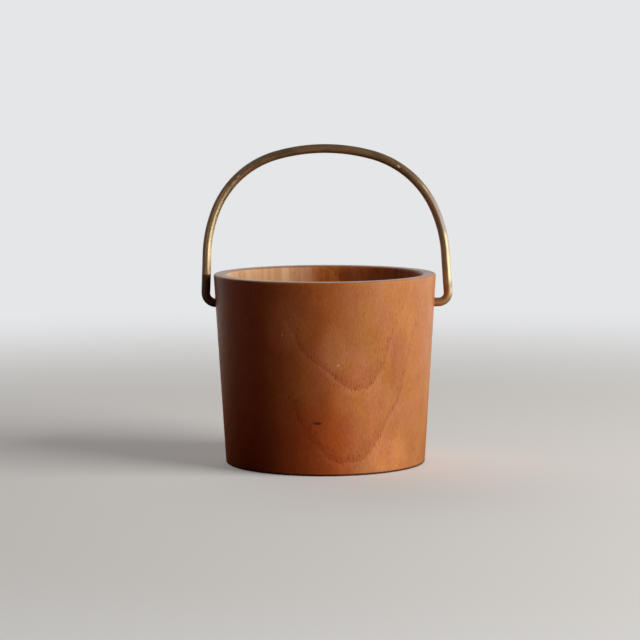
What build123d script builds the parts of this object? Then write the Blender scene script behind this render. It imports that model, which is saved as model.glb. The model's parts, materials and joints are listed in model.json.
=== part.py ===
from build123d import *

import os
from math import acos, atan, cos, degrees, hypot, radians, sin, tan

# A turned teak pail with a sprung brass bail.
# The wall is turned from one block of teak with the grain upright, bored right through and
# rebated from below for a glued bottom board. The bail is one bent brass rod whose turned-in
# ends sit in two blind holes under the rim, so that it swings over the mouth either way.
# Frame: millimetres, +Z up, origin at the centre of the foot, +X along the bail's hinge.

# Turned wall
RIM_DIAMETER = 148.0  # outside, at the mouth
FOOT_DIAMETER = 133.0  # outside, where it stands
PAIL_HEIGHT = 126.0
WALL = 9.0  # level thickness, the same from foot to rim
RIM_OUTER_ROUND = 0.8
RIM_INNER_ROUND = 1.6
FOOT_CHAMFER = 0.8  # eases the arris that it stands on

# Bottom board, pushed up from below against a shoulder in the wall
BOARD_THICKNESS = 10.0
BOARD_LEDGE = 4.0  # width of the shoulder over the board's edge
BOARD_CHAMFER = 0.6  # eases both sides of the joint under the foot
GLUE_GAP = 0.1  # glue line round the board

# Bail rod and its bends, all radii at the rod's centre line
ROD_DIAMETER = 6.0
BEND_RADIUS = 6.5  # where the rod turns in to its pivot
LEG_GAP = 3.0  # daylight between a leg and the rim, bail centred
LEG_LEAN = 3.1  # degrees that each leg leans in as it rises
LEG_STRAIGHT = 26.0  # straight rod between the bend and the haunch
HAUNCH_RADIUS = 87.0  # slow curve over each leg
HAUNCH_TURN = 20.3  # degrees that the haunch turns
SHOULDER_RADIUS = 62.4
CROWN_HALF_ANGLE = 15.6  # degrees of crown each side of the top

# Pivots
PIVOT_DROP = 19.4  # hinge line below the rim
PIVOT_FLOOR = 2.0  # wood left between a pivot hole and the inside
PIN_CLEARANCE = 0.25  # round each turned-in end
PIN_END_CLEARANCE = 0.5  # at the end that sits deepest
PIN_CHAMFER = 0.6  # on the rod's cut ends
SIDE_PLAY = 1.4  # the loose bail sits this far towards +X

# Values worked out from the sizes above
RIM_RADIUS = RIM_DIAMETER / 2
FOOT_RADIUS = FOOT_DIAMETER / 2
ROD_RADIUS = ROD_DIAMETER / 2
FLARE = (RIM_RADIUS - FOOT_RADIUS) / PAIL_HEIGHT  # outward run for each unit of height
BOARD_SEAT_RADIUS = FOOT_RADIUS + FLARE * BOARD_THICKNESS - WALL + BOARD_LEDGE
PIVOT_HEIGHT = PAIL_HEIGHT - PIVOT_DROP
PIVOT_DEPTH = WALL - PIVOT_FLOOR
LEAN = radians(LEG_LEAN)
HAUNCH_END = LEAN + radians(HAUNCH_TURN)
SHOULDER_END = radians(90 - CROWN_HALF_ANGLE)
CROWN_ANGLE = radians(CROWN_HALF_ANGLE)


def outer_radius(height):
    """Outside radius of the pail at a height above the foot."""
    return FOOT_RADIUS + FLARE * height


def inner_radius(height):
    """Inside radius of the pail at a height above the foot."""
    return outer_radius(height) - WALL


def turned_wall():
    """The wall: a half section spun about the upright axis, with a blind hole on each side."""
    foot_outside = (FOOT_RADIUS, 0)
    rim_outside = (RIM_RADIUS, PAIL_HEIGHT)
    rim_inside = (inner_radius(PAIL_HEIGHT), PAIL_HEIGHT)
    shoulder_inside = (inner_radius(BOARD_THICKNESS), BOARD_THICKNESS)
    shoulder_outside = (BOARD_SEAT_RADIUS, BOARD_THICKNESS)
    foot_inside = (BOARD_SEAT_RADIUS, 0)
    outline = Polyline(
        foot_outside,
        rim_outside,
        rim_inside,
        shoulder_inside,
        shoulder_outside,
        foot_inside,
        close=True,
    )
    section = make_face(outline)
    section = chamfer(corner_at(section, foot_outside), FOOT_CHAMFER)
    section = chamfer(corner_at(section, foot_inside), BOARD_CHAMFER)
    section = fillet(corner_at(section, rim_outside), RIM_OUTER_ROUND)
    section = fillet(corner_at(section, rim_inside), RIM_INNER_ROUND)
    wall = revolve(Plane.XZ * section, Axis.Z)
    for side in (1, -1):
        wall -= pivot_hole(side)
    return wall


def corner_at(section, point):
    """The corner of a flat section that lies at a point."""
    return section.vertices().sort_by_distance((point[0], point[1], 0))[0]


def pivot_hole(side):
    """The drill's path for the blind hole on one side, side being 1 for +X and -1 for -X."""
    bottom = outer_radius(PIVOT_HEIGHT) - PIVOT_DEPTH
    length = PIVOT_DEPTH + WALL  # runs out past the sloping outside
    start = Plane((side * bottom, 0, PIVOT_HEIGHT), z_dir=(side, 0, 0))
    drill = Cylinder(
        ROD_RADIUS + PIN_CLEARANCE, length, align=(Align.CENTER, Align.CENTER, Align.MIN)
    )
    return start * drill


def bottom_board():
    """The bottom: a turned disc that fills the rebate, flush with the foot."""
    board = Cylinder(
        BOARD_SEAT_RADIUS - GLUE_GAP,
        BOARD_THICKNESS,
        align=(Align.CENTER, Align.CENTER, Align.MIN),
    )
    under_edge = board.faces().sort_by(Axis.Z)[0].edges()
    return chamfer(under_edge, BOARD_CHAMFER)


def spoke(angle):
    """Unit vector in the bail's plane at an angle above level, on the +X side."""
    return Vector(cos(angle), 0, sin(angle))


class BailLine:
    """The right half of the rod's centre line, from its end in the wall up to the crown.

    The rod runs out of the wall, turns up through the bend, leans in along the leg, and rounds
    the haunch and the shoulder into the crown. The crown's radius follows from the width left
    to span.
    """

    def __init__(self):
        leg_foot_height = PIVOT_HEIGHT + BEND_RADIUS * (1 + sin(LEAN))
        leg_at_rim = RIM_RADIUS + LEG_GAP + ROD_RADIUS / cos(LEAN)
        leg_foot_x = leg_at_rim + (PAIL_HEIGHT - leg_foot_height) * tan(LEAN)
        pin_reach = PIVOT_DEPTH - PIN_END_CLEARANCE - SIDE_PLAY
        self.pin_end = Vector(outer_radius(PIVOT_HEIGHT) - pin_reach, 0, PIVOT_HEIGHT)
        self.bend_start = Vector(leg_foot_x - BEND_RADIUS * cos(LEAN), 0, PIVOT_HEIGHT)
        bend_centre = self.bend_start + Vector(0, 0, BEND_RADIUS)
        self.bend_middle = bend_centre + BEND_RADIUS * spoke((LEAN - radians(90)) / 2)
        self.leg_foot = bend_centre + BEND_RADIUS * spoke(LEAN)
        self.leg_top = self.leg_foot + LEG_STRAIGHT * spoke(LEAN + radians(90))
        haunch_centre = self.leg_top - HAUNCH_RADIUS * spoke(LEAN)
        self.haunch_middle = haunch_centre + HAUNCH_RADIUS * spoke((LEAN + HAUNCH_END) / 2)
        self.haunch_top = haunch_centre + HAUNCH_RADIUS * spoke(HAUNCH_END)
        shoulder_centre = self.haunch_top - SHOULDER_RADIUS * spoke(HAUNCH_END)
        shoulder_middle = (HAUNCH_END + SHOULDER_END) / 2
        self.shoulder_middle = shoulder_centre + SHOULDER_RADIUS * spoke(shoulder_middle)
        self.shoulder_top = shoulder_centre + SHOULDER_RADIUS * spoke(SHOULDER_END)
        self.crown_radius = SHOULDER_RADIUS + shoulder_centre.X / sin(CROWN_ANGLE)
        crown_rise = self.crown_radius * (1 - cos(CROWN_ANGLE))
        self.crown_top = Vector(0, 0, self.shoulder_top.Z + crown_rise)

    def half(self, side):
        """The edges from the rod's end to the foot of the crown, side being 1 or -1."""

        def placed(point):
            return Vector(side * point.X, 0, point.Z)

        bend = [self.bend_start, self.bend_middle, self.leg_foot]
        haunch = [self.leg_top, self.haunch_middle, self.haunch_top]
        shoulder = [self.haunch_top, self.shoulder_middle, self.shoulder_top]
        return [
            Line(placed(self.pin_end), placed(self.bend_start)),
            ThreePointArc(*map(placed, bend)),
            Line(placed(self.leg_foot), placed(self.leg_top)),
            ThreePointArc(*map(placed, haunch)),
            ThreePointArc(*map(placed, shoulder)),
        ]

    def whole(self):
        """Both halves and the crown between them, as one wire."""
        far_shoulder = Vector(-self.shoulder_top.X, 0, self.shoulder_top.Z)
        crown = ThreePointArc(self.shoulder_top, self.crown_top, far_shoulder)
        return Wire([*self.half(1), crown, *self.half(-1)])


def bail():
    """The bail: a round rod carried along its centre line, with its cut ends eased."""
    line = BailLine()
    start = Plane(line.pin_end, z_dir=(1, 0, 0))
    rod = sweep(start * Circle(ROD_RADIUS), path=line.whole())
    cut_ends = rod.faces().filter_by(GeomType.PLANE)
    rod = chamfer(cut_ends.edges(), PIN_CHAMFER)
    return Pos(SIDE_PLAY, 0, 0) * rod


def bail_stop_angle():
    """Degrees from upright at which the crown comes to rest on the outside of the wall.

    The rod's centre keeps one rod radius off the sloping wall: a sine of the swing, plus a
    little of its cosine for the slope, equals the wall's reach at the hinge line.
    """
    reach = BailLine().crown_top.Z - PIVOT_HEIGHT
    stand_off = outer_radius(PIVOT_HEIGHT) + ROD_RADIUS * hypot(1, FLARE)
    return 90 + degrees(atan(FLARE)) + degrees(acos(stand_off / (reach * hypot(1, FLARE))))


def main():
    """Builds each piece and writes it under its own name."""
    os.makedirs("parts", exist_ok=True)
    pieces = {
        "turned_wall": turned_wall(),
        "bottom_board": bottom_board(),
        "bail": bail(),
    }
    for name, piece in pieces.items():
        export_step(piece, f"parts/{name}.step")
        print(f"{name}: {piece.volume / 1000:.1f} cm3")
    line = BailLine()
    print(f"crown radius {line.crown_radius:.1f}, top of crown {line.crown_top.Z:.1f}")
    print(f"hinge height {PIVOT_HEIGHT:.1f}, bail meets the wall at {bail_stop_angle():.1f} degrees")


main()
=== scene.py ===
# %% [markdown]
# # A turned teak pail with a brass bail
# This lesson dresses a finished CAD model in Blender. The model comes as a fixed frame in metres: a wall
# turned from one block of teak, a bottom board let into it, and a bail bent from brass rod. Nothing in the
# frame is moved. The wall and the bail are modelled again as finer surfaces, the board keeps its CAD mesh,
# and all three get finishes made from nodes.

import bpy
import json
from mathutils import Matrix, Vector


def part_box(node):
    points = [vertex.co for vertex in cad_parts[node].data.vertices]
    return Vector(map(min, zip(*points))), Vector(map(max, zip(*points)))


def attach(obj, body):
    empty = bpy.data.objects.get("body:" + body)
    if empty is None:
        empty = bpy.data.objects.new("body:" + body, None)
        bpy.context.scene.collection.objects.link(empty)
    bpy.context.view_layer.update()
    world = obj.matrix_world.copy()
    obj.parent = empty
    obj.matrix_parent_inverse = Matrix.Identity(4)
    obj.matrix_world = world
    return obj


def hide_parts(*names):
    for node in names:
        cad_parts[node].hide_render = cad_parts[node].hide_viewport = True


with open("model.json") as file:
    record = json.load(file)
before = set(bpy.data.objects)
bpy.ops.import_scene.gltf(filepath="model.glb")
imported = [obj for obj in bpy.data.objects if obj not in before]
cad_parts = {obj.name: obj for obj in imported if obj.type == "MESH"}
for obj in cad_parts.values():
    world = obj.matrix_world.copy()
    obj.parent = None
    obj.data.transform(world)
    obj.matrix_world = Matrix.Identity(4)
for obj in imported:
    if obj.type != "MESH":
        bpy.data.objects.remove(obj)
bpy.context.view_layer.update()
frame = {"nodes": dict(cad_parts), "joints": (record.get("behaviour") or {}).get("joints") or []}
print("pieces in the frame:", ", ".join(sorted(frame["nodes"])))

# %% [markdown]
# ## Sizes that come from the frame
# A dressed piece has to fit the CAD model, so the main sizes are read from the frame and not typed again:
# the height of the rim, the line of the hinge, the size of the board, and where the bail lies.

# %% Take the main sizes from the frame
import json
from math import cos, pi, radians, sin, tan

import bmesh
import bpy
import numpy as np
from mathutils import Matrix, Vector

MM = 0.001
HINGE = Vector(frame["joints"][0]["pos_m"])
RIM_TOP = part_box("turned_wall")[1].z
BOARD_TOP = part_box("bottom_board")[1].z
BOARD_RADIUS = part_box("bottom_board")[1].x
BAIL_LOW, BAIL_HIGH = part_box("bail")
BAIL_SHIFT = (BAIL_LOW.x + BAIL_HIGH.x) / 2
print(f"rim at {RIM_TOP / MM:.1f} mm, hinge at {HINGE.z / MM:.1f} mm, bail shifted {BAIL_SHIFT / MM:.2f} mm")

# %% [markdown]
# ## The camera
# A camera is a place, a direction and a lens. A long lens from far away keeps the pail's sides nearly
# parallel, and a small downward pitch opens the rim into a narrow ellipse. The lens is written as a focal
# length in pixels of the 640 pixel picture, which turns into millimetres on Blender's 36 mm sensor.

# %% Place the camera
PICTURE_PIXELS = 640
FOCAL_PIXELS = 2498.3
SENSOR_WIDTH = 36.0
EYE = Vector((-0.0033, -1.6579, 0.2606))
PITCH = 0.0997
ROLL = -0.0041


def put_in_scene(name, data):
    """An object for a camera, lamp or mesh, linked into the scene."""
    placed = bpy.data.objects.new(name, data)
    bpy.context.scene.collection.objects.link(placed)
    return placed


def make_camera():
    """A camera on level axes that are pitched down about X, then rolled about the line of sight."""
    lens = bpy.data.cameras.new("photo_lens")
    lens.sensor_width = SENSOR_WIDTH
    lens.lens = SENSOR_WIDTH * FOCAL_PIXELS / PICTURE_PIXELS
    camera = put_in_scene("photo_camera", lens)
    pitched = Matrix.Rotation(pi / 2 - PITCH, 4, "X")
    rolled = Matrix.Rotation(ROLL, 4, "Z")
    camera.matrix_world = Matrix.Translation(EYE) @ pitched @ rolled
    bpy.context.scene.camera = camera
    return camera


camera = make_camera()
print(f"lens {camera.data.lens:.1f} mm, {EYE.length:.2f} m from the foot")

# %% [markdown]
# ## Small helpers for node trees
# A material is a network: each node takes sockets or plain values and gives sockets. A few helpers keep the
# networks readable. One adds a node and feeds its inputs, linking what is a socket and setting what is a
# value. The others add Math nodes and return their results, so that sums read almost like formulas.

# %% Helpers that add and feed nodes


def feed(tree, node, inputs):
    """Links each input that is given a socket, and sets each that is given a value."""
    for name, value in inputs.items():
        if isinstance(value, bpy.types.NodeSocket):
            tree.links.new(value, node.inputs[name])
        else:
            node.inputs[name].default_value = value


def add_node(tree, kind, inputs=None, **settings):
    """A new node with its properties set and its inputs fed."""
    node = tree.nodes.new(kind)
    for name, value in settings.items():
        setattr(node, name, value)
    feed(tree, node, inputs or {})
    return node


def axes_of(tree, vector):
    """The sockets X, Y and Z of a vector."""
    return add_node(tree, "ShaderNodeSeparateXYZ", {0: vector}).outputs


def object_place(tree):
    """Where a point lies in its object, in metres."""
    return tree.nodes.new("ShaderNodeTexCoord").outputs["Object"]


def mix_shader(tree, share, first, second):
    """The first shader where share is 0 and the second where it is 1."""
    return add_node(tree, "ShaderNodeMixShader", {0: share, 1: first, 2: second}).outputs[0]


def new_material(name):
    """A material with only a Principled BSDF and an output, its node tree, and that BSDF."""
    material = bpy.data.materials.new(name)
    material.use_nodes = True
    tree = material.node_tree
    tree.nodes.clear()
    surface = tree.nodes.new("ShaderNodeBsdfPrincipled")
    add_node(tree, "ShaderNodeOutputMaterial", {"Surface": surface.outputs[0]})
    return material, tree, surface


print("helpers that add nodes are ready")

# %% Helpers that work out values and colours


def calc(tree, operation, *terms):
    """The result of a Math node that takes these terms."""
    return add_node(tree, "ShaderNodeMath", dict(enumerate(terms)), operation=operation).outputs[0]


def vector_calc(tree, operation, *terms):
    """The result of a Vector Math node: a number for a length or a dot product, otherwise a vector."""
    node = add_node(tree, "ShaderNodeVectorMath", dict(enumerate(terms)), operation=operation)
    return node.outputs["Value" if operation in ("LENGTH", "DOT_PRODUCT") else "Vector"]


def product(tree, first, *others):
    """All the terms multiplied together."""
    for term in others:
        first = calc(tree, "MULTIPLY", first, term)
    return first


def largest(tree, first, *others):
    """The largest of the terms."""
    for term in others:
        first = calc(tree, "MAXIMUM", first, term)
    return first


def left_over(tree, mask, amount):
    """What a mask leaves of the whole: 1 - amount * mask."""
    return calc(tree, "MULTIPLY_ADD", mask, -amount, 1.0)


def ease(tree, value, low, high):
    """0 below low, 1 above high, and a smooth step between, for either order of low and high."""
    inputs = {"Value": value, "From Min": low, "From Max": high}
    return add_node(tree, "ShaderNodeMapRange", inputs, interpolation_type="SMOOTHSTEP").outputs["Result"]


def region(tree, axes, borders):
    """The product of eased borders, each given as an axis, where it is 0 and where it is 1."""
    return product(tree, *(ease(tree, axes[axis], none, full) for axis, none, full in borders))


def blend_colour(tree, share, first, second, blend_type="MIX"):
    """first where share is 0 and second where it is 1; 6, 7 and 2 are a Mix node's colour sockets."""
    inputs = {0: share, 6: first, 7: second}
    return add_node(tree, "ShaderNodeMix", inputs, data_type="RGBA", blend_type=blend_type).outputs[2]


def tinted(tree, colour, tint, share=1.0):
    """A colour times a tint, by a share."""
    return blend_colour(tree, share, colour, tint, "MULTIPLY")


def srgb(red, green, blue):
    """A colour given on a screen, 0 to 255 each, as the linear colour that shaders use."""
    screen = np.array([red, green, blue]) / 255.0
    linear = np.where(screen <= 0.04045, screen / 12.92, ((screen + 0.055) / 1.055) ** 2.4)
    return (*linear.tolist(), 1.0)


print(f"a screen grey of 128 is {srgb(128, 128, 128)[0]:.3f} in linear light")

# %% [markdown]
# ## The floor
# The pail stands on a plain pale floor that fades into the background by a Transparent shader, so that no
# horizon cuts the picture from any side. A real floor is one colour. This one uses the Light Path node to be
# pale to the camera, warm and dim to the light that it bounces onto the wood, and duller, though lit on the
# right, in what the brass mirrors. It is a ring: the hole under the pail lets light reach its underside.

# %% Make the floor
FLOOR_RADIUS = 1.1
FLOOR_HOLE = 0.0652
FLOOR_DROP = 0.0001
FLOOR_FADE_START = 0.35
FLOOR_PALE = srgb(222, 220, 217)
FLOOR_ROUGHNESS = 0.6
FLOOR_GLOW = 0.2
NEAR_BOUNCE = srgb(100, 42, 23)
FAR_BOUNCE = srgb(168, 90, 62)
BOUNCE_NEAR = 0.12
BOUNCE_FAR = 0.38
FLOOR_SHEEN = srgb(172, 152, 128)
LIT_SHEEN = srgb(240, 226, 204)
LIT_FROM = 0.08
LIT_FULLY = 0.3


def flat_ring(inner, outer, height, rings, sides):
    """A flat ring: point (i, j) lies i / rings of the way out from inner to outer, at turn j / sides."""
    turn = np.arange(sides) * 2 * pi / sides
    reach = np.linspace(inner, outer, rings + 1)
    level = np.full((rings + 1, sides), height)
    points = np.stack([np.outer(reach, np.cos(turn)), np.outer(reach, np.sin(turn)), level], -1)
    ring, side = np.meshgrid(np.arange(rings), np.arange(sides), indexing="ij")
    after = (side + 1) % sides
    near, far = ring * sides, (ring + 1) * sides
    quads = np.stack([near + side, far + side, far + after, near + after], -1)
    return points.reshape(-1, 3), quads.reshape(-1, 4)


def mesh_object(name, points, faces):
    """A mesh object at the origin, with its place in its points."""
    mesh = bpy.data.meshes.new(name)
    mesh.from_pydata(points.tolist(), [], [tuple(int(i) for i in face) for face in faces])
    return put_in_scene(name, mesh)


def floor_material():
    """Pale to the camera, its own colours to bounced light and gloss, clear from below and far off."""
    material, tree, surface = new_material("floor_paint")
    path = tree.nodes.new("ShaderNodeLightPath").outputs
    place = object_place(tree)
    reach = vector_calc(tree, "LENGTH", place)
    far = ease(tree, reach, BOUNCE_NEAR, BOUNCE_FAR)
    lit = ease(tree, axes_of(tree, place)["X"], LIT_FROM, LIT_FULLY)
    sheen = blend_colour(tree, far, NEAR_BOUNCE, blend_colour(tree, lit, FLOOR_SHEEN, LIT_SHEEN))
    bounce = blend_colour(tree, far, NEAR_BOUNCE, FAR_BOUNCE)
    colour = blend_colour(tree, path["Is Glossy Ray"], FLOOR_PALE, sheen)
    feed(tree, surface, {
        "Base Color": blend_colour(tree, path["Is Diffuse Ray"], colour, bounce),
        "Roughness": FLOOR_ROUGHNESS,
        "Specular IOR Level": 0.0,
        "Emission Color": FLOOR_PALE,
        "Emission Strength": product(tree, path["Is Camera Ray"], FLOOR_GLOW),
    })
    faded = ease(tree, reach, FLOOR_FADE_START, FLOOR_RADIUS)
    under = tree.nodes.new("ShaderNodeNewGeometry").outputs["Backfacing"]
    clear = tree.nodes.new("ShaderNodeBsdfTransparent").outputs[0]
    whole = mix_shader(tree, largest(tree, faded, under), surface.outputs[0], clear)
    feed(tree, tree.get_output_node("ALL"), {"Surface": whole})
    return material


floor = mesh_object("floor", *flat_ring(FLOOR_HOLE, FLOOR_RADIUS, -FLOOR_DROP, rings=12, sides=192))
floor.data.materials.append(floor_material())
print(f"floor of {len(floor.data.polygons)} faces, fading from {FLOOR_FADE_START} m")

# %% [markdown]
# ## The light
# One big area light stands on the right and a weaker one behind: the larger a lamp is, the softer the turn
# from light to shade round the wall. Polished rod mirrors whatever is around it, and a lamp would show there
# as a hard bright block. So the lamps are hidden from gloss, and the world is drawn by direction instead: dim
# in front, paler on the left, pale behind and brightest on the right. The camera sees one plain pale colour.

# %% Light the pail
KEY_TURN = radians(65)
KEY_RISE = radians(20)
KEY_SIZE = (1.2, 1.4)
KEY_POWER = 37.0
KEY_COLOUR = (1.0, 0.985, 0.96)
BACK_TURN = radians(198)
BACK_RISE = radians(30)
BACK_SIZE = (2.0, 1.6)
BACK_POWER = 10.0
BACK_COLOUR = (1.0, 1.0, 1.0)
LAMP_DISTANCE = 1.7
AIM_HEIGHT = RIM_TOP * 0.6


def softbox(name, turn, rise, size, power, colour):
    """An area light aimed at the pail, turned from the viewer's side towards +X and raised."""
    lamp = bpy.data.lights.new(name, "AREA")
    lamp.shape = "RECTANGLE"
    lamp.size, lamp.size_y = size
    lamp.energy = power
    lamp.color = colour
    away = Vector((sin(turn) * cos(rise), -cos(turn) * cos(rise), sin(rise)))
    placed = put_in_scene(name, lamp)
    placed.location = Vector((0, 0, AIM_HEIGHT)) + away * LAMP_DISTANCE
    placed.rotation_euler = away.to_track_quat("Z", "Y").to_euler()
    placed.visible_camera = False
    placed.visible_glossy = False
    return placed


softbox("key_panel", KEY_TURN, KEY_RISE, KEY_SIZE, KEY_POWER, KEY_COLOUR)
softbox("back_panel", BACK_TURN, BACK_RISE, BACK_SIZE, BACK_POWER, BACK_COLOUR)
print(f"key lamp {KEY_POWER} W and back panel {BACK_POWER} W at {LAMP_DISTANCE} m")

# %% Draw the world by direction
BACKGROUND_SEEN = srgb(229, 230, 232)
FILL = (0.018, 0.012, 0.010, 1.0)
UNDER_FILL = (0.9, 0.9, 0.9, 1.0)
GLOSS_FRONT = srgb(60, 52, 46)
GLOSS_LEFT = srgb(160, 154, 146)
GLOSS_LOW = (0.42, 0.38, 0.32, 1.0)
GLOSS_RIGHT = (1.4, 1.38, 1.34, 1.0)
GLOSS_BRIGHT = (2.6, 2.58, 2.62, 1.0)
BRIGHT_FROM = (0.935, -0.345, -0.03)
BRIGHT_EDGE = 0.66
BRIGHT_CORE = 0.97
# Regions of direction, by borders: an axis, where the region is 0 and where it is 1
LEFTWARDS = (("X", -0.1, -0.6),)
BACKWARDS = (("Y", 0.5, 0.95),)
LOW_FRONT = (("X", -0.2, 0.3), ("Z", 0.0, -0.3))
NOT_HIGH = (("Z", 0.65, 0.3),)
RIGHTWARDS = (("X", 0.2, 0.8), *NOT_HIGH)
DOWNWARDS = (("Z", -0.4, -0.7),)


def gloss_colour(tree, towards):
    """What gloss mirrors in each direction, every region laid over the ones before it."""
    axes = axes_of(tree, towards)
    colour = blend_colour(tree, region(tree, axes, LEFTWARDS), GLOSS_FRONT, GLOSS_LEFT)
    colour = blend_colour(tree, region(tree, axes, BACKWARDS), colour, BACKGROUND_SEEN)
    colour = blend_colour(tree, region(tree, axes, LOW_FRONT), colour, GLOSS_LOW)
    colour = blend_colour(tree, region(tree, axes, RIGHTWARDS), colour, GLOSS_RIGHT)
    facing = vector_calc(tree, "DOT_PRODUCT", towards, BRIGHT_FROM)
    bright = product(tree, ease(tree, facing, BRIGHT_EDGE, BRIGHT_CORE), region(tree, axes, NOT_HIGH))
    return blend_colour(tree, bright, colour, GLOSS_BRIGHT)


def make_world():
    """Pale to the camera, drawn by direction to gloss, and a low fill, brighter from below, to the rest."""
    world = bpy.data.worlds.new("studio")
    bpy.context.scene.world = world
    world.use_nodes = True
    world.cycles.sampling_method = "NONE"
    tree = world.node_tree
    tree.nodes.clear()
    path = tree.nodes.new("ShaderNodeLightPath").outputs
    towards = tree.nodes.new("ShaderNodeTexCoord").outputs["Generated"]
    fill = blend_colour(tree, region(tree, axes_of(tree, towards), DOWNWARDS), FILL, UNDER_FILL)
    seen, gloss, fill = (
        add_node(tree, "ShaderNodeBackground", {"Color": colour, "Strength": 1.0}).outputs[0]
        for colour in (BACKGROUND_SEEN, gloss_colour(tree, towards), fill)
    )
    shiny = largest(tree, path["Is Glossy Ray"], path["Is Transmission Ray"])
    unseen = mix_shader(tree, shiny, fill, gloss)
    whole = mix_shader(tree, path["Is Camera Ray"], unseen, seen)
    add_node(tree, "ShaderNodeOutputWorld", {"Surface": whole})
    return world


world = make_world()
bpy.context.scene.view_settings.view_transform = "Standard"
print(f"world of {len(world.node_tree.nodes)} nodes")

# %% [markdown]
# ## Teak, as a solid
# Wood isn't a picture wrapped round a shape. It is a stack of growth rings round the pith, and a lathe cuts
# through them. So the colour is worked out in space: the distance from a leaning pith line, divided by the
# ring width, gives a ring number and a place within that ring. A tapered wall cuts such rings in nested
# arches, and in straight stripes at its sides, with no drawing. Vessels are long thin tubes along the grain:
# a Voronoi pattern stretched along Z, which the sloping wall slices into short dashes and the rim into dots.
# Both wall and board use this, so it is a node group. Its Ring Shift moves the rings and not the fibres.

# %% Rings of the teak
WOOD = srgb(186, 121, 72)
EARLY_WOOD = srgb(170, 102, 62)
LATE_WOOD = srgb(194, 132, 84)
RING_LINE = srgb(214, 158, 114)
RING_SEED = 4295.0
BROAD_WAVES = (42, 42, 20)
FINE_WAVES = (240, 240, 50)
FINE_WAVE_SHARE = 0.35
# A pair gives where a smooth step is 0 and where it is 1, a part being a place within a ring
RING_CHANCE = (0.1, 0.95)
EARLY_PART = (0.22, 0.0)
EARLY_SHARE = 0.5
LATE_PART = (0.6, 1.0)
LATE_SHARE = 0.3
LINE_PART = (0.86, 0.97)
LINE_BREAKS = (0.35, 0.65)
LINE_SHARE = 0.28


def noise(tree, vector, lumps, detail=2.0, roughness=0.5):
    """Smooth noise from 0 to 1, with so many lumps to the metre along X, Y and Z."""
    stretched = vector_calc(tree, "MULTIPLY", vector, lumps)
    inputs = {"Vector": stretched, "Scale": 1.0, "Detail": detail, "Roughness": roughness}
    return add_node(tree, "ShaderNodeTexNoise", inputs).outputs[0]


def add_swing(tree, total, value, weight):
    """The total plus a weight times how far a noise swings from its middle."""
    return calc(tree, "MULTIPLY_ADD", calc(tree, "SUBTRACT", value, 0.5), weight, total)


def ring_place(tree, given, position):
    """Place within its ring, 0 to 1, and the ring's number.

    Both come from (distance from the leaning pith line + waviness - start) / ring width.
    """
    position = vector_calc(tree, "ADD", position, given["Ring Shift"])
    axes, lean, pith = (axes_of(tree, vector) for vector in (position, given["Lean"], given["Pith"]))
    offsets = {}
    for axis in "XY":
        centre = calc(tree, "MULTIPLY_ADD", axes["Z"], lean[axis], pith[axis])
        offsets[axis] = calc(tree, "SUBTRACT", axes[axis], centre)
    distance = vector_calc(tree, "LENGTH", add_node(tree, "ShaderNodeCombineXYZ", offsets).outputs[0])
    wavy = add_swing(tree, distance, noise(tree, position, BROAD_WAVES), given["Waviness"])
    fine_waviness = product(tree, given["Waviness"], FINE_WAVE_SHARE)
    wavy = add_swing(tree, wavy, noise(tree, position, FINE_WAVES), fine_waviness)
    rings = calc(tree, "DIVIDE", calc(tree, "SUBTRACT", wavy, given["Start"]), given["Ring Width"])
    return calc(tree, "FRACT", rings), calc(tree, "FLOOR", rings)


def ring_strength(tree, given, number):
    """How strongly a ring shows, 0 to 1, from one throw of the dice for each ring number."""
    throw = {"W": calc(tree, "ADD", number, RING_SEED)}
    chance = add_node(tree, "ShaderNodeTexWhiteNoise", throw, noise_dimensions="1D").outputs["Value"]
    return product(tree, ease(tree, chance, *RING_CHANCE), given["Ring Show"])


def ring_colours(tree, given, within, number, patches):
    """Redder where a strong ring starts, paler towards the next one, with a broken pale line between."""
    coming = ring_strength(tree, given, calc(tree, "ADD", number, 1.0))
    early = product(tree, ease(tree, within, *EARLY_PART), ring_strength(tree, given, number), EARLY_SHARE)
    late = product(tree, ease(tree, within, *LATE_PART), coming, LATE_SHARE)
    broken = product(tree, ease(tree, patches, *LINE_BREAKS), given["Line Show"])
    line = product(tree, ease(tree, within, *LINE_PART), coming, broken, LINE_SHARE)
    colour = blend_colour(tree, early, WOOD, EARLY_WOOD)
    colour = blend_colour(tree, late, colour, LATE_WOOD)
    return blend_colour(tree, line, colour, RING_LINE)


print(f"waves up to {1 / BROAD_WAVES[0] / MM:.0f} mm across bend the rings")

# %% Teak grain group
PORE_DARK = srgb(112, 52, 30)
PORE_SHARE = 0.55
WIDE_CELLS = (960.0, 960.0, 280.0)
WIDE_PART = (0.24, 0.02)
WIDE_CHANCE = 1.2
WIDE_PORE = (0.45, 0.15)
FINE_CELLS = (2000.0, 2000.0, 400.0)
FINE_CHANCE = 0.2
FINE_PORE = (0.4, 0.2)
FINE_DEPTH = 0.4
DENSE = (0.88, 0.79, 0.66, 1.0)
LOOSE = (1.10, 1.17, 1.29, 1.0)
ROSY = (0.99, 0.97, 1.06, 1.0)
GOLDEN = (1.01, 1.02, 0.87, 1.0)
FIBRES = (1400, 1400, 330)
FIBRE_SWING = 2.4
FIBRE_RELIEF = 0.25
MOTTLES = (95, 95, 62)
MOTTLE_SWING = 1.5
PATCHES = (34, 34, 14)
PATCH_SWING = 1.0
WARMTH = (70, 70, 40)
WARMTH_STEP = (0.36, 0.64)


def pore_cells(tree, position, counts):
    """Voronoi cells, so many to the metre along each axis, and a chance from 0 to 1 for each cell."""
    inputs = {"Vector": vector_calc(tree, "MULTIPLY", position, counts), "Scale": 1.0}
    cells = add_node(tree, "ShaderNodeTexVoronoi", inputs, feature="F1").outputs
    chance = add_node(tree, "ShaderNodeSeparateColor", {0: cells["Color"]}).outputs[0]
    return cells, chance


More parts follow.
